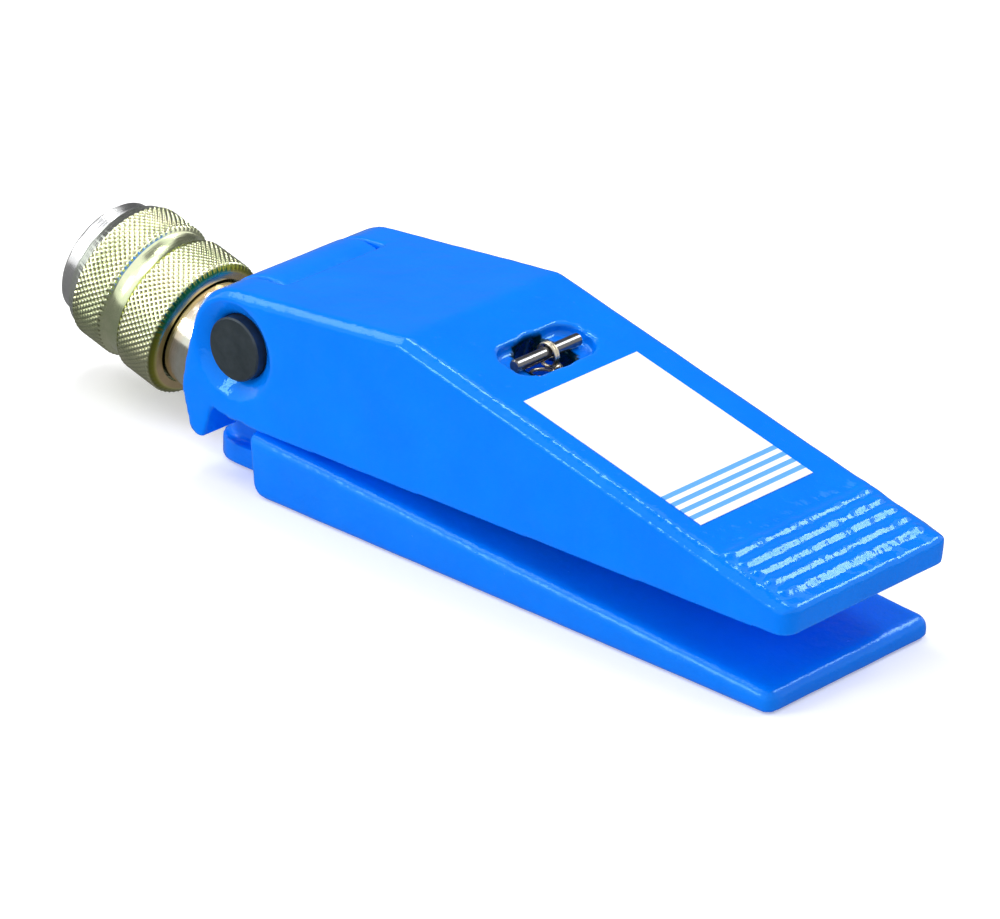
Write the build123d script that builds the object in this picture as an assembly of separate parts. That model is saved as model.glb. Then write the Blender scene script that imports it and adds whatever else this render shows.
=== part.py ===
from build123d import *
import os
from math import cos, sin, tan, asin, radians, sqrt, hypot

# Hydraulic wedge spreader: two cast jaws on one hinge pin, opened by a short ram
# in the lower jaw and pulled shut by a coil spring. Sizes are millimetres.
# The origin is on the sole, under the ram's axis. X runs to the nose, Z is up.

# Driving dimensions of the hinge and of the jaws' opening
jaw_width = 57.15
hinge_height = 35.0
ram_arm = 32.0
rest_opening = 5.0
full_opening = 34.5
closed_gap = 0.3
hinge_x = -ram_arm

# Lower jaw: a solid wedge with a lug for the hinge and a cylinder for the ram
wall_rear = 5.5
base_reach = 167.5
base_rear_height = 15.75
base_nose_height = 5.15
base_nose_radius = 3.0
base_heel_radius = 3.5
base_edge_radius = 3.0
lug_half_width = 16.2
lug_rear = 16.5
lug_corner_radius = 8.0
lug_step = 1.0
barrel_radius = 14.8
cylinder_radius = 19.5
cylinder_top = 35.0
cylinder_rib_width = 8.0
cylinder_rib_reach = 34.0

# Upper jaw, drawn closed and measured from the hinge pin
ear_radius = 14.6
bend_reach = 54.35
bend_rise = 15.4
nose_reach = 170.7
nose_drop = 22.8
nose_rake = 1.3
bend_radius = 8.0
jaw_nose_radius = 4.0
jaw_edge_radius = 1.6
rim_margin = 0.1
ear_heel_radius = 18.1
ear_foot_reach = 1.0
ear_rear_rise = 1.2
tab_notch_angle = 117.0
tab_tip = (-11.9, -25.9)
tab_heel = (-15.9, -23.4)
tab_shoulder = (-17.9, -13.3)
tab_tip_radius = 1.8
tab_back_radius = 4.0
roof_thickness = 8.0
channel_half_width = 21.5
channel_reach = 136.0
channel_corner_radius = 4.0
slot_half_width = 16.5
slot_radius = 16.4
slot_corner_near = 5.0
slot_corner_far = 2.0

# Hinge pin, the dish round each of its ends, and the screw that holds it
pin_radius = 7.94
pin_fit = 0.04
pin_recess = 2.2
pin_chamfer = 0.8
dish_radius = 12.6
dish_depth = 3.4
dish_flare = 1.35
set_screw_radius = 3.0
set_screw_length = 9.0
set_screw_offset = 11.0
thread_fit = 0.06

# Ram, its seal and the bore
ram_radius = 14.3
ram_fit = 0.06
ram_dome_radius = 20.0
bore_floor = 6.0
ram_foot_gap = 2.0
ram_foot_chamfer = 1.2
pad_rise = 2.5
pad_radius = 13.0
pad_shift = 2.0
pad_gap = 0.2
seal_land = 3.0
seal_groove_depth = 2.6
seal_height = 3.6
seal_lip_depth = 1.6
backup_height = 1.2
seal_side_gap = 0.1

# Return spring, its two cross pins and their slots
spring_slope_place = 21.2
spring_pin_radius = 1.6
spring_pin_length = 22.0
spring_pin_depth = 1.2
spring_slot_width = 12.6
spring_slot_length = 26.4
spring_slot_corner = 5.0
spring_hole_radius = 6.9
spring_radius = 3.6
spring_wire = 1.1
spring_turns = 16
spring_eye_radius = 2.9
spring_eye_drop = 0.7
eye_turn = 320.0
turn_steps = 12
wire_sides = 8
lower_pin_height = 2.9

# Decal on the sloping face
label_start = 33.3
label_length = 55.4
label_width = 38.8
label_thickness = 0.2
label_corner = 1.0
label_shift = -1.5

# Grip ridges across the nose
ridge_count = 5
ridge_nose_gap = 6.2
ridge_pitch = 4.05
ridge_radius = 2.3
ridge_height = 0.8
ridge_half_length = 23.2

# Quick coupler, measured along its own axis from the sleeve's inner end
coupler_tilt = 14.9
coupler_datum_x = -67.8
coupler_datum_z = 19.2
sleeve_radius = 18.4
sleeve_start = 0.6
sleeve_lip = 2.6
sleeve_groove_radius = 17.0
front_band_end = 13.0
rear_band_start = 18.5
sleeve_end = 31.5
sleeve_chamfer = 2.0
sleeve_travel = 5.0
sleeve_land_start = 20.0
sleeve_chamber_radius = 16.6
sleeve_fit = 0.06
sleeve_stop_gap = 0.3
body_radius = 14.0
body_shoulder = -17.0
lip_gap = 0.5
body_face = 3.5
stub_radius = 8.5
stub_length = 14.0
stub_taper = 0.4
oil_bore_radius = 3.4
valve_chamber_radius = 7.5
valve_chamber_start = -9.0
nose_stub_radius = 10.0
nose_stub_start = -4.0
nose_radius = 13.5
nose_flange_radius = 15.4
nose_end = 36.0
nose_chamfer = 0.8
socket_radius = 9.6
socket_floor = 18.5
stem_well_radius = 7.0
stem_well_floor = 14.0
throat_radius = 5.0
seat_start = 6.5
seat_end = 10.8
port_depth = 15.3
spotface_radius = 15.2
spotface_gap = 0.2
passage_radius = 2.0
passage_end = -58.0
washer_thickness = 1.0
washer_radius = 16.3
ball_radius = 2.0
ball_count = 8
ball_place = 25.0
ball_gap = 0.1
ball_relief = 1.1
sleeve_spring_wire = 1.2
sleeve_spring_turns = 5
poppet_radius = 6.6
poppet_back = 4.0
poppet_travel = 3.5
poppet_stem_radius = 2.2
poppet_tip = 18.0
poppet_tail = -8.0
poppet_spring_wire = 1.0
poppet_spring_turns = 4
poppet_groove_radius = 4.8
poppet_seal_radius = 0.85
guide_thickness = 3.0
guide_fit = 0.06
guide_hole_radius = 1.3
guide_hole_circle = 4.9
guide_hole_count = 4
nose_ring_place = 29.5
nose_ring_radius = 1.0

half_width = jaw_width / 2
slope_length = hypot(nose_reach - bend_reach, bend_rise + nose_drop)
slope_cos = (nose_reach - bend_reach) / slope_length
slope_sin = (bend_rise + nose_drop) / slope_length
slope_angle = asin(slope_sin)
base_fall = (base_rear_height - base_nose_height) / (base_reach - wall_rear)


def base_top(reach):
    # Height of the lower jaw's top face above the sole, by distance from the hinge.
    return base_rear_height - (reach - wall_rear) * base_fall


def skirt_foot(reach):
    # The upper jaw's lower edge when shut, measured from the hinge's height.
    return base_top(reach) + closed_gap - hinge_height


def side_plate(outline, half):
    # A plate of the given side outline, as thick as twice half, across the middle.
    return extrude(Plane.XZ * outline, amount=half, both=True)


def outline_of(points, corners=()):
    # A closed side outline, with a fillet of its own radius at each named corner.
    face = make_face(Polyline(*points, close=True))
    for (x, z), radius in corners:
        spot = face.vertices().sort_by_distance((x, z, 0))[0]
        face = fillet(spot, radius)
    return face


def turned(points):
    # A turned piece about Z, from its half section as (radius, height) points.
    return revolve(Plane.XZ * make_face(Polyline(*points, close=True)), Axis.Z)


def hinged(shape):
    # Carries a piece of the upper jaw from its closed drawing to the rest pose.
    return Location((hinge_x, 0, hinge_height), (0, -rest_opening, 0)) * shape


def on_slope(along, depth=0.0):
    # A point of the closed upper jaw's sloping face, depth below its surface.
    x = bend_reach + along * slope_cos - depth * slope_sin
    z = bend_rise - along * slope_sin - depth * slope_cos
    return x, z


def slope_plane(along, depth=0.0):
    # A plane on the sloping face of the closed upper jaw, its Y across the jaw.
    x, z = on_slope(along, depth)
    return Plane(origin=(x, 0, z), x_dir=(slope_cos, 0, -slope_sin), z_dir=(slope_sin, 0, slope_cos))


def cross_rod(x, z, radius, half):
    # A round bar across the jaws.
    return side_plate(Pos(x, z) * Circle(radius), half)


def edges_above(shape, height_of, side):
    # The outer long edges of a jaw blank that lie on or above a given line.
    keep = []
    for edge in shape.edges():
        middle = edge.center()
        on_side = abs(abs(middle.Y) - side) < 0.01 or edge.bounding_box().size.Y > side
        if on_side and middle.Z > height_of(middle.X):
            keep.append(edge)
    return keep


def ram_stroke(opening):
    # How far a domed ram lifts while the flat pad turns by the given angle.
    turn = radians(opening)
    return ram_arm * tan(turn) - (ram_dome_radius - pad_rise) * (1 / cos(turn) - 1)


ram_lift_per_rad = ram_stroke(full_opening) / radians(full_opening)
ram_rest_lift = ram_lift_per_rad * radians(rest_opening)
ram_closed_foot = bore_floor + ram_foot_gap
ram_closed_top = hinge_height + pad_rise - pad_gap

coupler = Plane(
    origin=(coupler_datum_x, 0, coupler_datum_z),
    x_dir=(0, 1, 0),
    z_dir=(-cos(radians(coupler_tilt)), 0, sin(radians(coupler_tilt))),
).location


def upper_pin_point():
    # Centre of the upper spring pin in the rest pose.
    x, z = on_slope(spring_slope_place, spring_pin_depth)
    turn = radians(rest_opening)
    return (
        hinge_x + x * cos(turn) - z * sin(turn),
        hinge_height + x * sin(turn) + z * cos(turn),
    )


def lower_pin_point():
    # Centre of the lower spring pin, under the upper one when the jaws are shut.
    return hinge_x + on_slope(spring_slope_place, spring_pin_depth)[0], lower_pin_height


def make_lower_jaw():
    nose_x = hinge_x + base_reach
    rear_x = hinge_x + wall_rear
    heel_x = rear_x + 2.0
    side = outline_of(
        [(heel_x, 0), (nose_x, 0), (nose_x, base_nose_height), (rear_x, base_rear_height)],
        [((heel_x, 0), base_heel_radius)],
    )
    wedge = side_plate(side, half_width)
    corners = wedge.edges().filter_by(Axis.Z).filter_by_position(Axis.X, nose_x - 1, nose_x + 1)
    wedge = fillet(corners, base_nose_radius)
    top = edges_above(wedge, lambda x: base_top(x - hinge_x) - 0.05, half_width)
    top = [edge for edge in top if edge.bounding_box().size.X > jaw_width]
    wedge = fillet(top, base_edge_radius)

    lug_back = hinge_x - lug_rear
    lug_side = [
        (lug_back, 0), (0, 0), (0, cylinder_top - lug_step), (hinge_x, cylinder_top - lug_step),
        (lug_back, hinge_height / 2),
    ]
    lug = side_plate(outline_of(lug_side), lug_half_width)
    upright = lug.edges().filter_by(Axis.Z).filter_by_position(Axis.X, lug_back - 1, lug_back + 1)
    lug = fillet(upright, lug_corner_radius)
    barrel = cross_rod(hinge_x, hinge_height, barrel_radius, lug_half_width)
    tower = extrude(Circle(cylinder_radius), amount=cylinder_top)
    rib_side = outline_of(
        [(0, 2), (cylinder_rib_reach, 2), (cylinder_rib_reach, base_top(cylinder_rib_reach + ram_arm)),
         (cylinder_radius, cylinder_top - 4), (0, cylinder_top - 4)]
    )
    rib = side_plate(rib_side, cylinder_rib_width / 2)
    jaw = wedge + lug + barrel + tower + rib

    bore = Pos(0, 0, bore_floor) * extrude(Circle(ram_radius + ram_fit), amount=cylinder_top)
    pin_hole = cross_rod(hinge_x, hinge_height, pin_radius + 0.01, half_width)
    screw_hole = Pos(hinge_x, set_screw_offset, 0) * extrude(
        Circle(set_screw_radius + thread_fit), amount=hinge_height
    )
    port = coupler * turned([
        (0, body_shoulder - port_depth), (stub_radius - stub_taper + thread_fit, body_shoulder - port_depth),
        (stub_radius + thread_fit, body_shoulder), (spotface_radius, body_shoulder - spotface_gap),
        (spotface_radius, sleeve_start), (0, sleeve_start),
    ])
    passage = coupler * turned([
        (0, passage_end), (passage_radius, passage_end + passage_radius),
        (passage_radius, body_shoulder), (0, body_shoulder),
    ])
    jaw = jaw - bore - pin_hole - screw_hole - port - passage

    pin_x, pin_z = lower_pin_point()
    slot = Pos(pin_x, 0, 0) * extrude(
        RectangleRounded(spring_slot_width, spring_slot_length, spring_slot_corner),
        amount=pin_z + spring_pin_radius,
    )
    spring_hole = Pos(pin_x, 0, 0) * extrude(Circle(spring_hole_radius), amount=hinge_height)
    return jaw - slot - spring_hole


def jaw_side():
    # Side outline of the closed upper jaw, from the hinge.
    notch_turn = radians(tab_notch_angle)
    notch = (ear_heel_radius * cos(notch_turn), -ear_heel_radius * sin(notch_turn))
    foot = (ear_foot_reach, -sqrt(ear_heel_radius ** 2 - ear_foot_reach ** 2))
    rear = (-sqrt(ear_radius ** 2 - ear_rear_rise ** 2), ear_rear_rise)
    skirt_start = (wall_rear, skirt_foot(wall_rear))
    nose_foot = (nose_reach - nose_rake, skirt_foot(nose_reach - nose_rake))
    nose_top = (nose_reach, -nose_drop)
    bend = (bend_reach, bend_rise)
    crown = (0, ear_radius)
    side = make_face([
        Line(rear, tab_shoulder),
        Line(tab_shoulder, tab_heel),
        Line(tab_heel, tab_tip),
        Line(tab_tip, notch),
        RadiusArc(notch, foot, -ear_heel_radius),
        Line(foot, skirt_start),
        Line(skirt_start, nose_foot),
        Line(nose_foot, nose_top),
        Line(nose_top, bend),
        Line(bend, crown),
        RadiusArc(crown, rear, -ear_radius),
    ])
    rounds = {bend: bend_radius, tab_tip: tab_tip_radius, tab_heel: tab_tip_radius}
    rounds[tab_shoulder] = tab_back_radius
    for (x, z), radius in rounds.items():
        spot = side.vertices().sort_by_distance((x, z, 0))[0]
        side = fillet(spot, radius)
    return side


def channel_side():
    # Side outline of the hollow under the upper jaw's roof.
    drop = (roof_thickness + (channel_reach - bend_reach) * slope_sin) / slope_cos
    bend_corner = (bend_reach - roof_thickness * tan(slope_angle / 2), bend_rise - roof_thickness)
    far_corner = (channel_reach, bend_rise - drop)
    return outline_of(
        [
            (wall_rear, -hinge_height), (wall_rear, ear_radius - roof_thickness),
            bend_corner, far_corner, (channel_reach, -hinge_height),
        ],
        [(bend_corner, bend_radius), (far_corner, channel_corner_radius)],
    )


def hinge_slot():
    # The opening between the ears, round the lug's barrel, as deep as the jaw turns.
    edge = sqrt(slot_radius ** 2 - ear_radius ** 2)
    back = -2 * slot_radius
    near, far = -slot_half_width, slot_half_width
    plan = make_face(Polyline((back, near), (edge, near), (edge, far), (back, far), close=True))
    for y, radius in ((near, slot_corner_near), (far, slot_corner_far)):
        plan = fillet(plan.vertices().sort_by_distance((edge, y, 0))[0], radius)
    rounded = extrude(plan, amount=2 * hinge_height)
    low = Pos((back + edge) / 2, 0, -hinge_height / 2) * Box(edge - back, 2 * slot_half_width, hinge_height)
    return rounded + low + cross_rod(0, 0, slot_radius, slot_half_width)


def grip_ridges():
    # Rounded ribs across the nose, sunk so far that only their crests stand up.
    ridges = []
    for place in range(ridge_count):
        along = slope_length - ridge_nose_gap - place * ridge_pitch
        plane = slope_plane(along, ridge_radius - ridge_height)
        bar = extrude(Plane.XZ * Circle(ridge_radius), amount=ridge_half_length, both=True)
        ends = [Pos(0, side * ridge_half_length, 0) * Sphere(ridge_radius) for side in (-1, 1)]
        ridges.append(plane.location * (bar + ends[0] + ends[1]))
    return ridges


def jaw_rim_line(x):
    # A line just under the closed upper jaw's top faces, which all its rounded edges lie above.
    if x > nose_reach - 2 * jaw_nose_radius:
        return -nose_drop - rim_margin
    slope_rim = bend_rise - (x - bend_reach) * slope_sin / slope_cos - 1.0
    return min(ear_rear_rise - rim_margin, slope_rim)


def make_upper_jaw():
    blank = side_plate(jaw_side(), half_width)
    nose = blank.edges().filter_by_position(Axis.X, nose_reach - 2 * nose_rake, nose_reach + 1)
    upright = [edge for edge in nose if edge.bounding_box().size.Y < 0.1]
    blank = fillet(upright, jaw_nose_radius)
    top = edges_above(blank, jaw_rim_line, half_width)
    blank = fillet(top, jaw_edge_radius)

    channel = side_plate(channel_side(), channel_half_width)
    pad = Pos(ram_arm - pad_shift, 0, pad_rise) * extrude(Circle(pad_radius), amount=roof_thickness + 1)
    pin_hole = cross_rod(0, 0, pin_radius + pin_fit, half_width)
    dish = turned([
        (0, half_width + 1), (dish_radius + dish_flare, half_width + 1), (dish_radius, half_width),
        (pin_radius + pin_fit, half_width - dish_depth), (0, half_width - dish_depth),
    ])
    dishes = Rot(-90, 0, 0) * dish + Rot(90, 0, 0) * dish
    spring_slot = slope_plane(spring_slope_place).location * extrude(
        RectangleRounded(spring_slot_width, spring_slot_length, spring_slot_corner),
        amount=-(spring_pin_depth + spring_pin_radius),
    )
    spring_hole = slope_plane(spring_slope_place, 2 * roof_thickness).location * extrude(
        Circle(spring_hole_radius), amount=3 * roof_thickness
    )
    jaw = blank - channel
    for ridge in grip_ridges():
        jaw = jaw + ridge
    return jaw - hinge_slot() - pin_hole - dishes - spring_slot - spring_hole + pad


def make_hinge_pin():
    length = jaw_width - 2 * pin_recess
    rod = extrude(Circle(pin_radius), amount=length / 2, both=True)
    rims = rod.edges().filter_by(GeomType.CIRCLE)
    rod = chamfer(rims, pin_chamfer)
    return Pos(hinge_x, 0, hinge_height) * (Rot(90, 0, 0) * rod)


def make_set_screw():
    head = hinge_height - pin_radius - set_screw_length
    screw = extrude(Circle(set_screw_radius), amount=set_screw_length - 0.05)
    screw = chamfer(screw.edges().filter_by(GeomType.CIRCLE), set_screw_radius / 5)
    socket = extrude(RegularPolygon(set_screw_radius / 2, 6), amount=set_screw_length / 3)
    return Pos(hinge_x, set_screw_offset, head) * (screw - socket)


def make_spring_pin(x, z):
    rod = cross_rod(x, z, spring_pin_radius, spring_pin_length / 2)
    return chamfer(rod.edges().filter_by(GeomType.CIRCLE), spring_pin_radius / 5)


def ram_points():
    # Half section of the ram when the jaws are shut: foot, seal groove, wall and domed top.
    foot = ram_closed_foot
    apex = ram_closed_top
    shoulder = apex - ram_dome_radius + sqrt(ram_dome_radius ** 2 - ram_radius ** 2)
    groove = foot + seal_land
    groove_top = groove + backup_height + seal_height + seal_side_gap
    inner = ram_radius - seal_groove_depth
    return foot, apex, shoulder, groove, groove_top, inner


def make_ram():
    foot, apex, shoulder, groove, groove_top, inner = ram_points()
    section = [
        Line((0, foot), (ram_radius - ram_foot_chamfer, foot)),
        Line((ram_radius - ram_foot_chamfer, foot), (ram_radius, foot + ram_foot_chamfer)),
        Line((ram_radius, foot + ram_foot_chamfer), (ram_radius, groove)),
        Line((ram_radius, groove), (inner, groove)),
        Line((inner, groove), (inner, groove_top)),
        Line((inner, groove_top), (ram_radius, groove_top)),
        Line((ram_radius, groove_top), (ram_radius, shoulder)),
        RadiusArc((ram_radius, shoulder), (0, apex), -ram_dome_radius),
        Line((0, apex), (0, foot)),
    ]
    ram = revolve(Plane.XZ * make_face(section), Axis.Z)
    return Pos(0, 0, ram_rest_lift) * ram


def make_ram_seal():
    groove, inner = ram_points()[3], ram_points()[5]
    low = groove + ram_rest_lift
    high = low + seal_height
    middle = (inner + ram_radius) / 2
    lip = seal_groove_depth / 5
    return turned([
        (inner, low + lip), (inner + lip, low), (middle - lip / 2, low + seal_lip_depth),
        (middle + lip / 2, low + seal_lip_depth), (ram_radius - lip, low), (ram_radius, low + lip),
        (ram_radius, high), (inner, high),
    ])


def make_backup_ring():
    groove, inner = ram_points()[3], ram_points()[5]
    low = groove + ram_rest_lift + seal_height + seal_side_gap / 2
    high = low + backup_height
    return turned([(inner, low), (ram_radius, low), (ram_radius, high), (inner, high)])


def wire_through(points, wire):
    # Spring wire through a row of points, with a plain many-sided section.
    start = Plane(origin=points[0], z_dir=Vector(*points[1]) - Vector(*points[0]))
    section = start * RegularPolygon(wire / 2, wire_sides)
    return sweep(section, path=Polyline(*points), transition=Transition.RIGHT)


def arc_points(centre, radius, first, last, steps, plane):
    # Points on an arc, its angles in degrees, in a plane given by two directions.
    (x, y, z), (across, up) = centre, plane
    points = []
    for step in range(steps + 1):
        turn = radians(first + (last - first) * step / steps)
        points.append(tuple(
            place + radius * (cos(turn) * a + sin(turn) * b)
            for place, a, b in zip((x, y, z), across, up)
        ))
    return points


def coil_points(low, high, radius, turns):
    # Points on a helix about Z, starting and ending on the X side.
    count = turns * turn_steps
    points = []
    for step in range(count + 1):
        turn = radians(360 * step / turn_steps)
        points.append((radius * cos(turn), radius * sin(turn), low + (high - low) * step / count))
    return points


def make_return_spring():
    # A close extension spring between the two pins, its ends cranked in and bent into an eye on each.
    (low_x, low_z), (high_x, high_z) = lower_pin_point(), upper_pin_point()
    span = hypot(high_x - low_x, high_z - low_z)
    frame = Plane(origin=(low_x, 0, low_z), x_dir=(0, 1, 0), z_dir=(high_x - low_x, 0, high_z - low_z))
    reach = spring_eye_radius + spring_eye_drop
    flat, upright = ((1, 0, 0), (0, 1, 0)), ((0, 1, 0), (0, 0, 1))
    half = spring_radius / 2
    steps = turn_steps // 2
    low_eye = arc_points((0, 0, spring_eye_drop), spring_eye_radius, 90 - eye_turn, 90, turn_steps, upright)
    low_crank = arc_points((half, 0, reach), half, 180, 360, steps, flat)
    coil = coil_points(reach, span - reach, spring_radius, spring_turns)
    high_crank = arc_points((half, 0, span - reach), half, 0, 180, steps, flat)
    high_centre = (0, 0, span - spring_eye_drop)
    high_eye = arc_points(high_centre, spring_eye_radius, 270, 270 - eye_turn, turn_steps, upright)
    points = low_eye + low_crank[1:] + coil[1:] + high_crank[1:] + high_eye[1:]
    return frame.location * wire_through(points, spring_wire)


def make_label():
    plate = extrude(RectangleRounded(label_length, label_width, label_corner), amount=label_thickness)
    return slope_plane(label_start + label_length / 2).location * (Pos(0, label_shift, 0) * plate)


def make_coupler_body():
    inner_thread = nose_stub_radius + thread_fit
    thread_end = nose_stub_start - seal_side_gap
    stub_end = body_shoulder - stub_length
    edge = nose_chamfer
    body = turned([
        (oil_bore_radius, stub_end), (stub_radius - stub_taper - edge, stub_end),
        (stub_radius - stub_taper, stub_end + edge), (stub_radius, body_shoulder),
        (body_radius - edge, body_shoulder), (body_radius, body_shoulder + edge),
        (body_radius, body_face), (inner_thread, body_face),
        (inner_thread, thread_end), (valve_chamber_radius, thread_end),
        (valve_chamber_radius, valve_chamber_start), (oil_bore_radius, valve_chamber_start),
    ])
    return coupler * body


def make_coupler_nose():
    edge = nose_chamfer
    flange = sleeve_end + sleeve_stop_gap
    groove_low = nose_ring_place - nose_ring_radius - seal_side_gap
    groove_high = nose_ring_place + nose_ring_radius + seal_side_gap
    groove_out = socket_radius + 2 * nose_ring_radius
    nose = turned([
        (valve_chamber_radius, nose_stub_start), (nose_stub_radius, nose_stub_start),
        (nose_stub_radius, body_face), (nose_radius, body_face), (nose_radius, flange),
        (nose_flange_radius, flange), (nose_flange_radius, nose_end - edge),
        (nose_flange_radius - edge, nose_end), (socket_radius + 2 * edge, nose_end),
        (socket_radius, nose_end - 2 * edge), (socket_radius, groove_high),
        (groove_out, groove_high), (groove_out, groove_low), (socket_radius, groove_low),
        (socket_radius, socket_floor), (stem_well_radius, socket_floor), (stem_well_radius, stem_well_floor),
        (throat_radius, stem_well_floor), (throat_radius, seat_end),
        (valve_chamber_radius, seat_start),
    ])
    for place in range(ball_count):
        hole = Pos(0, 0, ball_place) * (Rot(0, 90, 0) * Cylinder(ball_radius + ball_gap, 2 * nose_radius))
        keep = Pos(nose_radius / 2 + 1, 0, ball_place) * Box(nose_radius, 3 * ball_radius, 3 * ball_radius)
        nose = nose - Rot(0, 0, place * 360 / ball_count) * (hole & keep)
    return coupler * nose


def make_sleeve():
    land = nose_radius + 2 * ball_gap + sleeve_fit
    bore = body_radius + lip_gap
    edge = sleeve_chamfer / 2
    sleeve = turned([
        (bore, sleeve_start), (sleeve_radius - sleeve_chamfer, sleeve_start),
        (sleeve_radius, sleeve_start + edge), (sleeve_radius, front_band_end - edge),
        (sleeve_groove_radius, front_band_end), (sleeve_groove_radius, rear_band_start),
        (sleeve_radius, rear_band_start + edge), (sleeve_radius, sleeve_end - sleeve_chamfer),
        (sleeve_radius - sleeve_chamfer, sleeve_end), (land + ball_relief, sleeve_end),
        (land + ball_relief, ball_place + ball_radius + ball_gap),
        (land, ball_place + ball_radius - ball_relief), (land, sleeve_land_start),
        (sleeve_chamber_radius, sleeve_land_start), (sleeve_chamber_radius, sleeve_start + sleeve_lip),
        (bore, sleeve_start + sleeve_lip),
    ])
    return coupler * sleeve


def make_spring_washer():
    low = body_face + seal_side_gap
    inner = nose_radius + seal_side_gap
    high = low + washer_thickness
    return coupler * turned([(inner, low), (washer_radius, low), (washer_radius, high), (inner, high)])


def coil_spring(low, high, radius, wire, turns):
    # A compression spring between two heights.
    return wire_through(coil_points(low + wire / 2, high - wire / 2, radius, turns), wire)


def make_sleeve_spring():
    low = body_face + seal_side_gap + washer_thickness
    radius = (nose_radius + sleeve_chamber_radius) / 2
    return coupler * coil_spring(low, sleeve_land_start, radius, sleeve_spring_wire, sleeve_spring_turns)


def make_lock_balls():
    reach = socket_radius + ball_radius + ball_gap / 2
    balls = [
        Rot(0, 0, place * 360 / ball_count) * (Pos(reach, 0, ball_place) * Sphere(ball_radius))
        for place in range(ball_count)
    ]
    return coupler * (Part() + balls)


def make_poppet():
    ring = 2 * poppet_seal_radius + seal_side_gap
    back = poppet_back + 2 * poppet_seal_radius
    front = back + ring
    cone = front + 1.2
    return coupler * turned([
        (0, poppet_tail), (poppet_stem_radius, poppet_tail), (poppet_stem_radius, poppet_back),
        (poppet_radius, poppet_back), (poppet_radius, back), (poppet_groove_radius, back),
        (poppet_groove_radius, front), (poppet_radius - 1.0, front), (poppet_stem_radius + 0.6, seat_end),
        (poppet_stem_radius, seat_end), (poppet_stem_radius, poppet_tip), (0, poppet_tip),
    ])


def make_poppet_seal():
    place = poppet_back + 3 * poppet_seal_radius + seal_side_gap / 2
    return coupler * (Pos(0, 0, place) * Torus(poppet_groove_radius + poppet_seal_radius, poppet_seal_radius))


def make_poppet_spring():
    low = valve_chamber_start + guide_thickness
    radius = (poppet_stem_radius + poppet_radius) / 2
    return coupler * coil_spring(low, poppet_back, radius, poppet_spring_wire, poppet_spring_turns)


def make_valve_guide():
    inner, outer = poppet_stem_radius + guide_fit, valve_chamber_radius - guide_fit
    low = valve_chamber_start
    high = low + guide_thickness
    disc = turned([(inner, low), (outer, low), (outer, high), (inner, high)])
    hole = Pos(guide_hole_circle, 0, low) * extrude(Circle(guide_hole_radius), amount=guide_thickness)
    for place in range(guide_hole_count):
        disc = disc - Rot(0, 0, place * 360 / guide_hole_count) * hole
    return coupler * disc


def make_nose_ring():
    ring = Torus(socket_radius + nose_ring_radius, nose_ring_radius)
    return coupler * (Pos(0, 0, nose_ring_place) * ring)


NODES = {
    "lower_jaw": make_lower_jaw(),
    "upper_jaw": hinged(make_upper_jaw()),
    "hinge_pin": make_hinge_pin(),
    "hinge_set_screw": make_set_screw(),
    "ram": make_ram(),
    "ram_seal": make_ram_seal(),
    "ram_backup_ring": make_backup_ring(),
    "return_spring": make_return_spring(),
    "upper_spring_pin": make_spring_pin(*upper_pin_point()),
    "lower_spring_pin": make_spring_pin(*lower_pin_point()),
    "jaw_label": hinged(make_label()),
    "coupler_body": make_coupler_body(),
    "coupler_nose": make_coupler_nose(),
    "coupler_sleeve": make_sleeve(),
    "sleeve_spring": make_sleeve_spring(),
    "spring_washer": make_spring_washer(),
    "lock_balls": make_lock_balls(),
    "poppet_valve": make_poppet(),
    "poppet_seal": make_poppet_seal(),
    "poppet_spring": make_poppet_spring(),
    "valve_guide": make_valve_guide(),
    "nose_seal": make_nose_ring(),
}

os.makedirs("parts", exist_ok=True)
for name, shape in NODES.items():
    export_step(shape, "parts/" + name + ".step")
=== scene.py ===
# %% [markdown]
# A hydraulic wedge spreader: two enamelled iron jaws on one hinge pin, a short ram
# between them, a coil spring that pulls them shut, and a plated quick coupler behind.
# The imported CAD model is loaded first and is never moved. Everything made here lies on
# it, in metres. The jaws, sleeve, label and pins ride on its bodies, so the joints move them.

# %% Load the frame
import bpy
import bmesh
from math import atan2, cos, floor, hypot, pi, radians, sin
from mathutils import Vector, Matrix, noise


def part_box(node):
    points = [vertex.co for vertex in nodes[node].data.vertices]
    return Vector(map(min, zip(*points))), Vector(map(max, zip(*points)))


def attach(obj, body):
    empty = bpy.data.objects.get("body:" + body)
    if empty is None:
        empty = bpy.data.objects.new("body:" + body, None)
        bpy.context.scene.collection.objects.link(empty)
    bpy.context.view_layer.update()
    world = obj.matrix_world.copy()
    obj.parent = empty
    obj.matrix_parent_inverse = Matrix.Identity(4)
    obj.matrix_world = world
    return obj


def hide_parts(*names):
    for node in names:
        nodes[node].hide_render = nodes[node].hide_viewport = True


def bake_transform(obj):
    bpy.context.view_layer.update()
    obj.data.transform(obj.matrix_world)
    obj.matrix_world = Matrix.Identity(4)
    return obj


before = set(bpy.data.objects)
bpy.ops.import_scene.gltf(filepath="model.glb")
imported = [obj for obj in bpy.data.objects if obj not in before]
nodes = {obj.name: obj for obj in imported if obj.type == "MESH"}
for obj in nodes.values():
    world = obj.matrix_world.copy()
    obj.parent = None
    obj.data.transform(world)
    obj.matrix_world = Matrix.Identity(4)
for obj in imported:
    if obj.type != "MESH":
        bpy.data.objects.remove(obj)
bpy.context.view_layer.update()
MM = 0.001

# %% [markdown]
# The camera stands where the photograph was taken from, found by fitting a pinhole
# camera to edges of known length. A long lens keeps the perspective mild. The matrix
# is built from three angles, so that one line can be changed without the others.

# %% Camera
YAW, PITCH, ROLL = 0.728901, 0.442010, 0.027092
EYE = Vector((1.03255, -1.125225, 0.73130))
LENS, SENSOR = 257.549, 36.0


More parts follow.
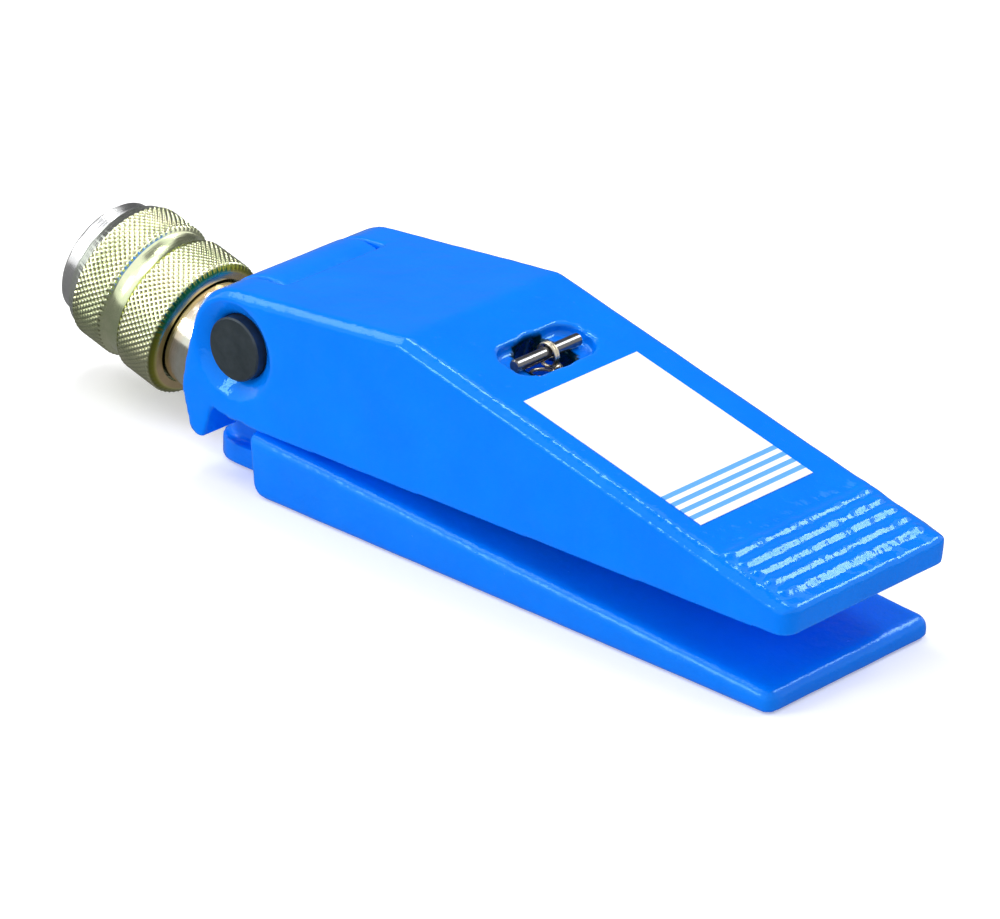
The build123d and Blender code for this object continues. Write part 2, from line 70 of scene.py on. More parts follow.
def camera_axes(yaw, pitch, roll):
    back = Vector((sin(yaw) * cos(pitch), -cos(yaw) * cos(pitch), sin(pitch)))
    right = Vector((cos(yaw), sin(yaw), 0))
    up = back.cross(right)
    across = right * cos(roll) + up * sin(roll)
    upward = up * cos(roll) - right * sin(roll)
    return across, upward, back


camera_data = bpy.data.cameras.new("camera")
camera_data.sensor_fit = "HORIZONTAL"
camera_data.sensor_width = SENSOR
camera_data.lens = LENS
camera_data.clip_start, camera_data.clip_end = 0.05, 20
camera = bpy.data.objects.new("camera", camera_data)
bpy.context.scene.collection.objects.link(camera)
camera.matrix_world = Matrix.Translation(EYE) @ Matrix(camera_axes(YAW, PITCH, ROLL)).transposed().to_4x4()
bpy.context.scene.camera = camera
bpy.context.scene.view_settings.view_transform = "Standard"
print("camera at", tuple(round(v, 4) for v in camera.matrix_world.translation))

# %% [markdown]
# Two local frames do most of the placing. The upper jaw is drawn shut, from the hinge
# pin, and is turned up by its rest opening. The coupler is turned about its own tilted
# axis, measured from the sleeve's inner end, so its parts are drawn as if upright.

# %% Local frames
HINGE = Vector((-32, 0, 35)) * MM
REST_OPENING = radians(5)
BEND, TIP = Vector((54.35, 0, 15.4)) * MM, Vector((170.7, 0, -22.8)) * MM
HALF_WIDTH = 28.575 * MM
jaw_frame = Matrix.Translation(HINGE) @ Matrix.Rotation(-REST_OPENING, 4, "Y")
along_slope = (TIP - BEND).normalized()
out_of_slope = Vector((-along_slope.z, 0, along_slope.x))
slope_frame = jaw_frame @ Matrix.Translation(BEND) @ Matrix(
    (along_slope, Vector((0, 1, 0)), out_of_slope)
).transposed().to_4x4()
TILT = radians(14.9)
coupler_frame = Matrix.Translation(Vector((-67.8, 0, 19.2)) * MM) @ Matrix(
    (Vector((sin(TILT), 0, cos(TILT))), Vector((0, 1, 0)), Vector((-cos(TILT), 0, sin(TILT))))
).transposed().to_4x4()
print("slope normal", tuple(round(v, 3) for v in (slope_frame.to_3x3() @ Vector((0, 0, 1)))))

# %% [markdown]
# Materials come before the pieces. A small helper makes an empty material with its
# shader, and another drops a node in and wires it, so each finish below reads as a
# short list: where the pattern comes from, what it does to colour, and to the bump.

# %% Material helpers
def new_material(name, colour, metallic=0.0, roughness=0.4):
    material = bpy.data.materials.new(name)
    material.use_nodes = True
    shader = material.node_tree.nodes["Principled BSDF"]
    shader.inputs["Base Color"].default_value = (*colour, 1)
    shader.inputs["Metallic"].default_value = metallic
    shader.inputs["Roughness"].default_value = roughness
    return material, shader


def add_node(material, kind, values=None, **links):
    node = material.node_tree.nodes.new(kind)
    for name, value in (values or {}).items():
        node.inputs[name].default_value = value
    for name, socket in links.items():
        material.node_tree.links.new(socket, node.inputs[name.replace("_", " ")])
    return node


def object_place(material, turn=(0, 0, 0), move=(0, 0, 0)):
    place = add_node(material, "ShaderNodeTexCoord")
    mapping = add_node(material, "ShaderNodeMapping", Vector=place.outputs["Object"])
    mapping.inputs["Rotation"].default_value = turn
    mapping.inputs["Location"].default_value = move
    return mapping.outputs["Vector"]


def noise_of(material, place, scale, detail=3, roughness=0.5):
    return add_node(
        material, "ShaderNodeTexNoise",
        {"Scale": scale, "Detail": detail, "Roughness": roughness}, Vector=place,
    ).outputs["Fac"]


def ramp_of(material, factor, stops):
    ramp = add_node(material, "ShaderNodeValToRGB", Fac=factor)
    elements = ramp.color_ramp.elements
    elements[0].position, elements[0].color = stops[0][0], (*stops[0][1], 1)
    elements[1].position, elements[1].color = stops[-1][0], (*stops[-1][1], 1)
    for place, colour in stops[1:-1]:
        elements.new(place).color = (*colour, 1)
    return ramp.outputs["Color"]


def bump_of(material, height, distance, strength=1.0, below=None):
    bump = add_node(material, "ShaderNodeBump", {"Distance": distance, "Strength": strength}, Height=height)
    if below is not None:
        material.node_tree.links.new(below, bump.inputs["Normal"])
    return bump.outputs["Normal"]


def times(material, first, second):
    product = material.node_tree.nodes.new("ShaderNodeVectorMath")
    product.operation = "MULTIPLY"
    material.node_tree.links.new(first, product.inputs[0])
    material.node_tree.links.new(second, product.inputs[1])
    return product.outputs["Vector"]


def wire(material, socket, shader, name):
    material.node_tree.links.new(socket, shader.inputs[name])


def grey(level):
    return (level, level, level)


# %% [markdown]
# The enamel is thick glossy paint over sand-cast iron. Paint softens the casting's
# grain, so two bumps are stacked: a slow one for the iron below and a fine orange
# peel of the paint. The gloss is low in roughness and tinted towards the paint's own
# blue, which keeps the highlights along the edges from turning lilac.

# %% Blue enamel
def enamel_paint(name, low, high):
    paint, shader = new_material(name, (0.0, 0.2, 0.96), roughness=low)
    place = object_place(paint)
    shade = ramp_of(paint, noise_of(paint, place, 55, 4), [(0.35, (0.0, 0.194, 0.93)), (0.7, (0.0, 0.214, 0.98))])
    # Painted shade: inside the spring's drilled hole, marked by an attribute, the paint is darkened to near black.
    hole_shade = add_node(paint, "ShaderNodeAttribute")
    hole_shade.attribute_name = "hole_shade"
    hole_shade_tint = ramp_of(paint, hole_shade.outputs["Fac"], [(0, grey(1)), (1, (0.2, 0.06, 0.03))])
    wire(paint, times(paint, shade, hole_shade_tint), shader, "Base Color")
    wire(paint, ramp_of(paint, noise_of(paint, place, 160, 3), [(0.3, grey(low)), (0.75, grey(high))]),
         shader, "Roughness")
    shader.inputs["Specular IOR Level"].default_value = 0.55
    shader.inputs["Specular Tint"].default_value = (0.3, 0.75, 1.0, 1)
    iron = bump_of(paint, noise_of(paint, place, 190, 3, 0.55), 0.0005, 0.5)
    peel = bump_of(paint, noise_of(paint, place, 620, 2, 0.5), 0.00012, 0.55, iron)
    wire(paint, peel, shader, "Normal")
    return paint


enamel = enamel_paint("jaw_enamel", 0.07, 0.15)
worn_enamel = enamel_paint("base_enamel", 0.18, 0.28)

# %% [markdown]
# Plated steel takes its colour from a thin film that is thicker in some places, so
# yellow zinc drifts from straw to green with pink where it was handled. The turning
# marks run round the axis, so the noise is squeezed along the coupler's own direction.

# %% Plated and turned steel
AXIS_TURN = (0, pi / 2 - TILT, 0)


def up_the_axis(material):
    """Height along the coupler's axis, from the sleeve's inner end, in metres."""
    turned = add_node(material, "ShaderNodeMapping", Vector=object_place(material))
    turned.inputs["Rotation"].default_value = coupler_frame.inverted().to_euler()
    turned.inputs["Location"].default_value = coupler_frame.inverted().translation
    return add_node(material, "ShaderNodeSeparateXYZ", Vector=turned.outputs["Vector"]).outputs["Z"]


def film_and_shade_bands(material, low, high, stops):
    """Colours of the plating's film, and on the sleeve two bands of painted shade, given at heights between low and
    high along the axis.
    """
    spread = add_node(material, "ShaderNodeMapRange", {"From Min": low * MM, "From Max": high * MM},
                      Value=up_the_axis(material))
    places = [((height - low) / (high - low), colour) for height, colour in stops]
    return ramp_of(material, spread.outputs["Result"], places)


def turned_metal(name, dark, light, roughness, ring_depth, third=None, bands=None, shaded_grooves=False):
    material, shader = new_material(name, light, metallic=1.0, roughness=roughness)
    place = object_place(material)
    turned = add_node(material, "ShaderNodeMapping", Vector=object_place(material, AXIS_TURN))
    turned.inputs["Scale"].default_value = (25, 25, 900)
    marks = noise_of(material, turned.outputs["Vector"], 3, 3)
    stops = [(0.3, dark), (0.62, light)]
    if third:
        stops.append((0.8, third))
    colour = ramp_of(material, noise_of(material, place, 60, 4, 0.6), stops)
    if bands:
        colour = times(material, colour, film_and_shade_bands(material, *bands))
    # Painted shade: the colour is darkened where the knurl's grooves push the surface in.
    if shaded_grooves:
        groove = add_node(material, "ShaderNodeAttribute")
        groove.attribute_name = "groove"
        colour = times(material, colour, ramp_of(material, groove.outputs["Fac"], [(0.2, grey(1)), (1, (0.4, 0.36, 0.26))]))
    wire(material, colour, shader, "Base Color")
    wire(material, ramp_of(material, marks, [(0.3, grey(roughness * 0.75)), (0.7, grey(roughness * 1.3))]),
         shader, "Roughness")
    wire(material, bump_of(material, marks, ring_depth, 0.6), shader, "Normal")
    return material


# The sleeve's film tints, with two dark olive bands of painted shade: on the front chamfer, 1.1 to 1.7 mm, and on
# the groove's step, 12.7 to 13.4 mm.
sleeve_film_and_shade = (0.0, 32.0, [
    (0.5, (0.95, 0.62, 0.5)), (0.75, (0.95, 0.8, 0.36)), (1.1, (0.42, 0.42, 0.06)), (1.7, (0.24, 0.26, 0.05)),
    (2.0, (1, 1, 0.74)), (12.4, (1, 1, 0.74)), (12.7, (0.4, 0.44, 0.06)), (13.4, (0.5, 0.54, 0.12)),
    (13.9, (0.95, 1, 0.7)), (18.4, (1, 1, 0.74)), (28.2, (1, 1, 0.74)), (28.5, (1, 1, 1))])
body_film = (-14.0, 1.0, [
    (-12.0, (1, 0.86, 0.8)), (-8.0, (1, 0.98, 0.86)), (-4.0, (1, 1, 0.95)),
    (-1.5, (1, 0.84, 0.72)), (0.4, (0.8, 0.8, 0.55))])
yellow_zinc = turned_metal("yellow_zinc", (0.64, 0.74, 0.60), (0.95, 0.98, 0.92), 0.2, 0.00006,
                           (0.95, 0.86, 0.84), sleeve_film_and_shade, True)
body_zinc = turned_metal("body_zinc", (0.66, 0.68, 0.60), (0.96, 0.96, 0.92), 0.14, 0.00008,
                         (0.95, 0.86, 0.80), body_film)
clear_zinc = turned_metal("clear_zinc", (0.66, 0.68, 0.70), (0.92, 0.92, 0.92), 0.2, 0.00008)
chromed_steel = turned_metal("chromed_steel", (0.55, 0.56, 0.58), (0.78, 0.78, 0.80), 0.14, 0.00002)
spring_steel = turned_metal("spring_wire", (0.42, 0.38, 0.28), (0.66, 0.60, 0.46), 0.3, 0.00002)
brass = turned_metal("valve_brass", (0.55, 0.38, 0.14), (0.82, 0.60, 0.26), 0.28, 0.00003)

# %% [markdown]
# The hinge pin is blackened steel, nearly matt, with a faint blue cast and fine
# scratches. Rubber and plastic seals are darker and softer, with a dusty sheen.

# %% Black oxide, rubber and plastic
dowel_steel, shader = new_material("dowel_steel", (0.03, 0.03, 0.035), roughness=0.12)
shader.inputs["IOR"].default_value = 2.1
place = object_place(dowel_steel)
shade = ramp_of(dowel_steel, noise_of(dowel_steel, place, 300, 4), [(0.3, (0.015, 0.016, 0.02)), (0.75, (0.05, 0.05, 0.06))])
wire(dowel_steel, shade, shader, "Base Color")
wire(dowel_steel, bump_of(dowel_steel, noise_of(dowel_steel, place, 1500, 2), 0.00002, 0.4), shader, "Normal")
black_oxide, shader = new_material("black_oxide", (0.03, 0.043, 0.052), metallic=0.4, roughness=0.42)
place = object_place(black_oxide)
shade = ramp_of(black_oxide, noise_of(black_oxide, place, 220, 5, 0.65),
                [(0.3, (0.022, 0.034, 0.042)), (0.75, (0.05, 0.066, 0.076))])
wire(black_oxide, shade, shader, "Base Color")
wire(black_oxide, bump_of(black_oxide, noise_of(black_oxide, place, 900, 3), 0.00005, 0.5), shader, "Normal")
seal_rubber, shader = new_material("seal_rubber", (0.02, 0.02, 0.022), roughness=0.6)
place = object_place(seal_rubber)
wire(seal_rubber, bump_of(seal_rubber, noise_of(seal_rubber, place, 1200, 2), 0.00003, 0.5), shader, "Normal")
backup_plastic, shader = new_material("backup_plastic", (0.75, 0.72, 0.62), roughness=0.5)
place = object_place(backup_plastic)
shade = ramp_of(backup_plastic, noise_of(backup_plastic, place, 90), [(0.3, (0.7, 0.66, 0.56)), (0.7, (0.8, 0.78, 0.7))])
wire(backup_plastic, shade, shader, "Base Color")

# %% Give the CAD nodes their finish
finish_of = {
    "hinge_set_screw": black_oxide, "ram": chromed_steel, "ram_seal": seal_rubber,
    "ram_backup_ring": backup_plastic, "coupler_body": body_zinc, "coupler_nose": clear_zinc,
    "spring_washer": clear_zinc, "lock_balls": dowel_steel, "poppet_valve": brass,
    "valve_guide": brass, "poppet_seal": seal_rubber, "nose_seal": seal_rubber,
    "poppet_spring": spring_steel, "sleeve_spring": spring_steel, "return_spring": spring_steel,
    "upper_spring_pin": dowel_steel, "lower_spring_pin": dowel_steel, "hinge_pin": black_oxide,
    "lower_jaw": worn_enamel, "upper_jaw": enamel, "jaw_label": enamel, "coupler_sleeve": yellow_zinc,
}
for name, material in finish_of.items():
    nodes[name].data.materials.clear()
    nodes[name].data.materials.append(material)
print("finishes given to", len(finish_of), "nodes")

# %% [markdown]
# Each jaw is a casting. The CAD solid has the true shape but knife-clean edges, so a
# copy of its mesh is merged, cut to the paint-softened bevel along its rim, remeshed
# to small squares and smoothed a little. Then every point may move by a few
# hundredths of a millimetre, which is what makes a casting look cast. An attribute
# marks the drilled hole for the spring, where the paint is darkened as painted shade.

# %% Casting helpers
def merged_copy(node):
    bm = bmesh.new()
    bm.from_mesh(nodes[node].data)
    bmesh.ops.remove_doubles(bm, verts=bm.verts[:], dist=1e-6)
    return bm


def cut_off(bm, point, normal):
    geometry = bm.verts[:] + bm.edges[:] + bm.faces[:]
    cut = bmesh.ops.bisect_plane(bm, geom=geometry, dist=1e-7, plane_co=point, plane_no=normal, clear_outer=True)
    edges = [item for item in cut["geom_cut"] if isinstance(item, bmesh.types.BMEdge)]
    bmesh.ops.edgenet_fill(bm, edges=edges)


def piece_from(bm, name, material):
    mesh = bpy.data.meshes.new(name)
    bm.to_mesh(mesh)
    bm.free()
    mesh.materials.append(material)
    piece = bpy.data.objects.new(name, mesh)
    bpy.context.scene.collection.objects.link(piece)
    return piece


def settle(piece):
    graph = bpy.context.evaluated_depsgraph_get()
    mesh = bpy.data.meshes.new_from_object(piece.evaluated_get(graph))
    piece.modifiers.clear()
    piece.data = mesh


def remesh_step(piece, voxel, rounds):
    remesh = piece.modifiers.new("skin", "REMESH")
    remesh.mode = "VOXEL"
    remesh.voxel_size = voxel
    smooth = piece.modifiers.new("paint", "SMOOTH")
    smooth.factor = 0.5
    smooth.iterations = rounds


def cast_skin(piece, voxel, wave, rounds):
    remesh_step(piece, voxel * 0.5, rounds)
    remesh_step(piece, voxel, 1)
    settle(piece)
    bm = bmesh.new()
    bm.from_mesh(piece.data)
    bm.normal_update()
    for vert in bm.verts:
        slow = noise.noise(vert.co * 95)
        quick = noise.noise(vert.co * 260)
        vert.co += vert.normal * wave * (0.7 * slow + 0.3 * quick - 0.5)
    for face in bm.faces:
        face.smooth = True
    bm.to_mesh(piece.data)
    bm.free()


def middle_of(node):
    low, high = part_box(node)
    return (Vector(low) + Vector(high)) / 2


SKIN_VOXEL = 0.74 * MM

# %% Upper jaw
RIM_ACROSS, RIM_DOWN = 2.4 * MM, 1.8 * MM
GRIP_START, GRIP_FLOOR, GRIP_WAVE = 94 * MM, -3 * MM, 0.42 * MM
DRILLED_RADIUS, DRILLED_TOP = 7.3 * MM, 0.8 * MM
DRILL_LEAN = 0.35
EAR_RADIUS = 14.6 * MM
top_frame = jaw_frame @ Matrix.Translation((0, 0, EAR_RADIUS)) @ Matrix.Rotation(-radians(0.85), 4, "Y")
rim_frames = [slope_frame, top_frame]
for turn in range(10, 80, 10):
    rim_frames.append(jaw_frame @ Matrix.Rotation(-radians(turn), 4, "Y") @ Matrix.Translation((0, 0, EAR_RADIUS)))
bm = merged_copy("upper_jaw")
for side in (-1, 1):
    for rim_frame in rim_frames:
        point = rim_frame @ Vector((0, side * (HALF_WIDTH - RIM_ACROSS), 0))
        normal = rim_frame.to_3x3() @ Vector((0, side * RIM_DOWN, RIM_ACROSS))
        cut_off(bm, point, normal.normalized())
upper_jaw = piece_from(bm, "jaw_casting_upper", enamel)
cast_skin(upper_jaw, SKIN_VOXEL, 0.0001, 2)
to_slope = slope_frame.inverted()
for vert in upper_jaw.data.vertices:
    on_slope = to_slope @ vert.co
    if on_slope.x > GRIP_START and on_slope.z > GRIP_FLOOR:
        side_fade = 0.6 + 0.4 * on_slope.y / HALF_WIDTH
        lift = GRIP_WAVE * side_fade * noise.noise(vert.co * 150) + 0.4 * GRIP_WAVE * noise.noise(vert.co * 380)
        vert.co += lift * (slope_frame.to_3x3() @ Vector((0, 0, 1)))
low_pin, high_pin = [middle_of(node) for node in ("lower_spring_pin", "upper_spring_pin")]
upright = (high_pin - low_pin).normalized()


# Marks the points inside the spring's drilled hole, below the slope, where the paint is darkened as painted shade.
def paint_hole_shade(piece, mouth):
    hole_shade = piece.data.attributes.new("hole_shade", "FLOAT", "POINT")
    for vert in piece.data.vertices:
        from_axis = (vert.co - low_pin).cross(upright).length
        depth = -(slope_frame.inverted() @ vert.co).z
        reach = min(DRILLED_RADIUS + DRILL_LEAN * depth, mouth)
        if from_axis < reach and depth > DRILLED_TOP:
            hole_shade.data[vert.index].value = min(1, (depth - DRILLED_TOP) / (0.5 * MM))


paint_hole_shade(upper_jaw, 13 * MM)
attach(upper_jaw, "jaw")
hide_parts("upper_jaw")
print("upper jaw faces", len(upper_jaw.data.polygons))

# %% [markdown]
# The lower jaw has a low flange round its heel, left by the mould. It is a rounded
# block dropped into the same mesh, and the remesh welds the two into one skin.

# %% Lower jaw
FLANGE_BACK, FLANGE_FRONT, FLANGE_HALF, FLANGE_TOP = -48.4 * MM, -24 * MM, 19.8 * MM, 5.6 * MM
FLANGE_CORNER = 9 * MM


def rounded_back(corner, steps):
    outline = [(FLANGE_FRONT, -FLANGE_HALF)]
    for side in (-1, 1):
        for step in range(steps + 1):
            turn = radians(90 * step / steps if side < 0 else 90 - 90 * step / steps)
            x = FLANGE_BACK + corner * (1 - sin(turn))
            outline.append((x, side * (FLANGE_HALF - corner * (1 - cos(turn)))))
    return outline + [(FLANGE_FRONT, FLANGE_HALF)]


bm = merged_copy("lower_jaw")
ring = [bm.verts.new((x, y, 0.02 * MM)) for x, y in rounded_back(FLANGE_CORNER, 8)]
lid = bmesh.ops.extrude_face_region(bm, geom=[bm.faces.new(ring)])
raised = [item for item in lid["geom"] if isinstance(item, bmesh.types.BMVert)]
bmesh.ops.translate(bm, vec=(0, 0, FLANGE_TOP), verts=raised)
bmesh.ops.recalc_face_normals(bm, faces=bm.faces[:])
lower_jaw = piece_from(bm, "jaw_casting_lower", worn_enamel)
cast_skin(lower_jaw, SKIN_VOXEL * 0.92, 0.0001, 1)
paint_hole_shade(lower_jaw, 9.2 * MM)
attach(lower_jaw, "base")
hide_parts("lower_jaw")
print("lower jaw faces", len(lower_jaw.data.polygons))

# %% [markdown]
# Round parts are turned on a lathe, and Blender's spin does the same: a half section
# is drawn once and swept round the axis. The knurl on the sleeve is rolled into the
# steel as small pyramids, so the band is a fine grid whose points are pushed in by
# two crossing families of grooves.

# %% Turned parts
def spun(profile, steps, place_frame):
    bm = bmesh.new()
    verts = [bm.verts.new((radius * MM, 0, height * MM)) for radius, height in profile]
    edges = [bm.edges.new(pair) for pair in zip(verts, verts[1:] + verts[:1])]
    bmesh.ops.spin(bm, geom=verts + edges, cent=(0, 0, 0), axis=(0, 0, 1), angle=2 * pi, steps=steps, use_merge=True)
    bmesh.ops.remove_doubles(bm, verts=bm.verts[:], dist=1e-7)
    bmesh.ops.recalc_face_normals(bm, faces=bm.faces[:])
    bmesh.ops.transform(bm, matrix=place_frame, verts=bm.verts[:])
    return bm


def shade_by_angle(bm, limit):
    for face in bm.faces:
        face.smooth = True
    for edge in bm.edges:
        if len(edge.link_faces) == 2 and edge.calc_face_angle() > limit:
            edge.smooth = False


# %% Knurled sleeve
DIAMONDS, SAMPLES = 68, 6
KNURL_DEPTH = 0.5
FRONT_BAND, REAR_BAND = (2.0, 12.4), (19.2, 28.2)


def stretch_of(start, end, radius, parts):
    return [(radius, start + (end - start) * step / parts) for step in range(parts + 1)]


sleeve_profile = [(14.55, 0.6), (16.1, 0.6), (16.5, 0.75), (18.0, 1.75)]
sleeve_profile += stretch_of(*FRONT_BAND, 18.4, 36)
sleeve_profile += [(18.0, 12.9), (17.3, 13.2), (17.0, 13.6), (17.0, 18.1), (17.3, 18.4), (18.0, 18.7)]
sleeve_profile += stretch_of(*REAR_BAND, 18.4, 30)
sleeve_profile += [(18.0, 28.5), (17.3, 30.6), (16.6, 31.4), (16.3, 31.5), (14.9, 31.5), (14.9, 27.1)]
sleeve_profile += [(13.8, 26.0), (13.8, 20.0), (16.6, 20.0), (16.6, 3.2), (14.55, 3.2)]
bm = spun(sleeve_profile, DIAMONDS * SAMPLES // (1), Matrix.Identity(4))
PITCH_ROUND = 2 * pi / DIAMONDS
PITCH_ALONG = (FRONT_BAND[1] - FRONT_BAND[0]) / 6


def ridge_between(value):
    return 1 - abs(2 * (value - floor(value)) - 1)


# How far each point is pushed in; the sleeve's material also darkens its colour by this as painted shade.
groove = bm.verts.layers.float.new("groove")
for vert in bm.verts:
    height = vert.co.z / MM
    for low, high in (FRONT_BAND, REAR_BAND):
        if low - 0.01 <= height <= high + 0.01 and hypot(vert.co.x, vert.co.y) > 18.3 * MM:
            turn = atan2(vert.co.y, vert.co.x) / PITCH_ROUND
            climb = (height - low) / PITCH_ALONG
            peak = min(ridge_between(turn + climb), ridge_between(turn - climb))
            radius = hypot(vert.co.x, vert.co.y)
            vert[groove] = max(0, min(1, 1.7 * peak - 0.25))
            scale = (radius - KNURL_DEPTH * MM * vert[groove]) / radius
            vert.co.x *= scale
            vert.co.y *= scale
bmesh.ops.transform(bm, matrix=coupler_frame, verts=bm.verts[:])
shade_by_angle(bm, radians(55))
sleeve = piece_from(bm, "knurled_sleeve", yellow_zinc)
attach(sleeve, "sleeve")
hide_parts("coupler_sleeve")
print("sleeve faces", len(sleeve.data.polygons))

# %% [markdown]
# The label is a printed film on the slope. Its print is a bare field with a few
# plain bars at the lower end, and its place on the film comes from Object coordinates.

# %% Label
LABEL_START, LABEL_LENGTH, LABEL_WIDTH = 33.3 * MM, 55.4 * MM, 38.8 * MM
LABEL_SHIFT = -1.5 * MM
BAR_PERIOD, BARS, LABEL_MARGIN = 2.9 * MM, 4, 2.2 * MM
LABEL_END = LABEL_START + LABEL_LENGTH
label_film, shader = new_material("label_film", (0.9, 0.92, 0.95), roughness=0.3)
label_turn = slope_frame.to_euler()
place = object_place(label_film)
back_turn = slope_frame.inverted()
turned = add_node(label_film, "ShaderNodeMapping", Vector=place)
turned.inputs["Rotation"].default_value = back_turn.to_euler()
turned.inputs["Location"].default_value = back_turn.translation
split = add_node(label_film, "ShaderNodeSeparateXYZ", Vector=turned.outputs["Vector"])
along = split.outputs["X"]
wave = add_node(label_film, "ShaderNodeMath", {1: 1 / BAR_PERIOD})
wave.operation = "MULTIPLY"
shifted = add_node(label_film, "ShaderNodeMath", {1: LABEL_END - LABEL_MARGIN - BARS * BAR_PERIOD})
shifted.operation = "SUBTRACT"
label_film.node_tree.links.new(along, shifted.inputs[0])
label_film.node_tree.links.new(shifted.outputs[0], wave.inputs[0])
part = add_node(label_film, "ShaderNodeMath")
part.operation = "FRACT"
label_film.node_tree.links.new(wave.outputs[0], part.inputs[0])
bar = add_node(label_film, "ShaderNodeMath", {1: 0.5})
bar.operation = "GREATER_THAN"
label_film.node_tree.links.new(part.outputs[0], bar.inputs[0])
low_end = add_node(label_film, "ShaderNodeMath", {1: LABEL_END - LABEL_MARGIN - BARS * BAR_PERIOD / 2})
low_end.operation = "COMPARE"
low_end.inputs[2].default_value = BARS * BAR_PERIOD / 2
label_film.node_tree.links.new(along, low_end.inputs[0])
both = add_node(label_film, "ShaderNodeMath")
both.operation = "MULTIPLY"
label_film.node_tree.links.new(bar.outputs[0], both.inputs[0])
label_film.node_tree.links.new(low_end.outputs[0], both.inputs[1])
wire(label_film, ramp_of(label_film, both.outputs[0], [(0.0, (0.97, 0.97, 0.97)), (1.0, (0.12, 0.42, 0.93))]),
     shader, "Base Color")
shader.inputs["Coat Weight"].default_value = 0.3

bm = bmesh.new()
bmesh.ops.create_grid(bm, x_segments=28, y_segments=20, size=0.5)
bmesh.ops.scale(bm, vec=(LABEL_LENGTH, LABEL_WIDTH, 1), verts=bm.verts[:])
bmesh.ops.translate(bm, vec=(LABEL_START + LABEL_LENGTH / 2, LABEL_SHIFT, 0.02 * MM), verts=bm.verts[:])
bmesh.ops.solidify(bm, geom=bm.faces[:], thickness=-0.15 * MM)
bmesh.ops.transform(bm, matrix=slope_frame, verts=bm.verts[:])
label = piece_from(bm, "label_on_slope", label_film)
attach(label, "jaw")
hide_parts("jaw_label")

# %% [markdown]
# The hinge pin's ends are turned flat with a small chamfer. The same spin makes the
# two cross pins that the return spring hooks on.

# %% Pins
def pin(name, centre, radius, half, chamfer, material, body, node):
    profile = [(0, -half), (radius - chamfer, -half), (radius, -half + chamfer),
               (radius, half - chamfer), (radius - chamfer, half), (0, half)]
    pin_frame = Matrix.Translation(centre) @ Matrix.Rotation(pi / 2, 4, "X")
    bm = spun(profile, 64, pin_frame)
    shade_by_angle(bm, radians(30))
    piece = piece_from(bm, name, material)
    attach(piece, body)
    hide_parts(node)


PIN_RECESS = 0.5
pin("turned_hinge_pin", middle_of("hinge_pin"), 7.94, HALF_WIDTH / MM - PIN_RECESS, 0.4, black_oxide,
    "base", "hinge_pin")
pin("cross_pin_upper", middle_of("upper_spring_pin"), 1.6, 11, 0.3, dowel_steel,
    "jaw", "upper_spring_pin")
pin("cross_pin_lower", middle_of("lower_spring_pin"), 1.6, 11, 0.3, dowel_steel,
    "base", "lower_spring_pin")

# %% [markdown]
# The return spring hooks on both cross pins and crosses the hinge, so no single body
# can carry it. Its wire is drawn as one line: an eye, a crank to the coil's edge, the
# close turns, and the same again at the top.

# %% Return spring
COIL_RADIUS, WIRE_RADIUS, TURNS = 3.6 * MM, 0.45 * MM, 16
EYE_RADIUS, EYE_DROP, STEPS = 2.9 * MM, 0.7 * MM, 24
EYE_DRIFT = 1.0 * MM
span = (high_pin - low_pin).length
spring_frame = Matrix.Translation(low_pin) @ Matrix(
    (Vector((0, 1, 0)), upright.cross(Vector((0, 1, 0))), upright)
).transposed().to_4x4()


def eye_line(height, first, last, drift):
    steps = int(abs(last - first) / 15)
    points = []
    for step in range(steps + 1):
        turn = radians(first + (last - first) * step / steps)
        sideways = drift * step / steps
        points.append((sideways, EYE_RADIUS * cos(turn), height + EYE_RADIUS * sin(turn)))
    return points


def coil_line(low, high):
    points = []
    for step in range(TURNS * STEPS + 1):
        turn = 2 * pi * step / STEPS
        height = low + (high - low) * step / (TURNS * STEPS)
        points.append((COIL_RADIUS * cos(turn), COIL_RADIUS * sin(turn), height))
    return points


def crank_line(height, rise):
    half = COIL_RADIUS / 2
    turns = [pi + pi * step / 8 for step in range(1, 8)]
    points = [(half + half * cos(turn), half * sin(turn), height) for turn in turns]
    return points if rise else points[::-1]


def round_wire(name, points, radius, material):
    curve = bpy.data.curves.new(name, "CURVE")
    curve.dimensions = "3D"
    curve.bevel_depth, curve.bevel_resolution, curve.use_fill_caps = radius, 3, True
    spline = curve.splines.new("POLY")
    spline.points.add(len(points) - 1)
    for point, place in zip(spline.points, points):
        point.co = (*place, 1)
    drawn = bpy.data.objects.new(name, curve)
    bpy.context.scene.collection.objects.link(drawn)
    mesh = bpy.data.meshes.new_from_object(drawn.evaluated_get(bpy.context.evaluated_depsgraph_get()))
    bpy.data.objects.remove(drawn)
    mesh.materials.clear()
    mesh.materials.append(material)
    for face in mesh.polygons:
        face.use_smooth = True
    piece = bpy.data.objects.new(name, mesh)
    bpy.context.scene.collection.objects.link(piece)
    return piece


reach = EYE_RADIUS + EYE_DROP
line = eye_line(EYE_DROP, -230, 90, 0)
line += crank_line(reach, True)
line += coil_line(reach, span - reach)
line += crank_line(span - reach, False)
line += eye_line(span - EYE_DROP, 270, -380, EYE_DRIFT * 1.3)
line = [spring_frame @ Vector(point) for point in line]
return_spring = round_wire("return_spring_wire", line, WIRE_RADIUS, spring_steel)
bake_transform(return_spring)
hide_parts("return_spring")
print("return spring", len(line), "points over", round(span / MM, 1), "mm")

# %% [markdown]
# Two small springs sit out of sight in the coupler and are squeezed when the sleeve or
# the poppet moves. Their size is read from the CAD solids in the coupler's own frame.

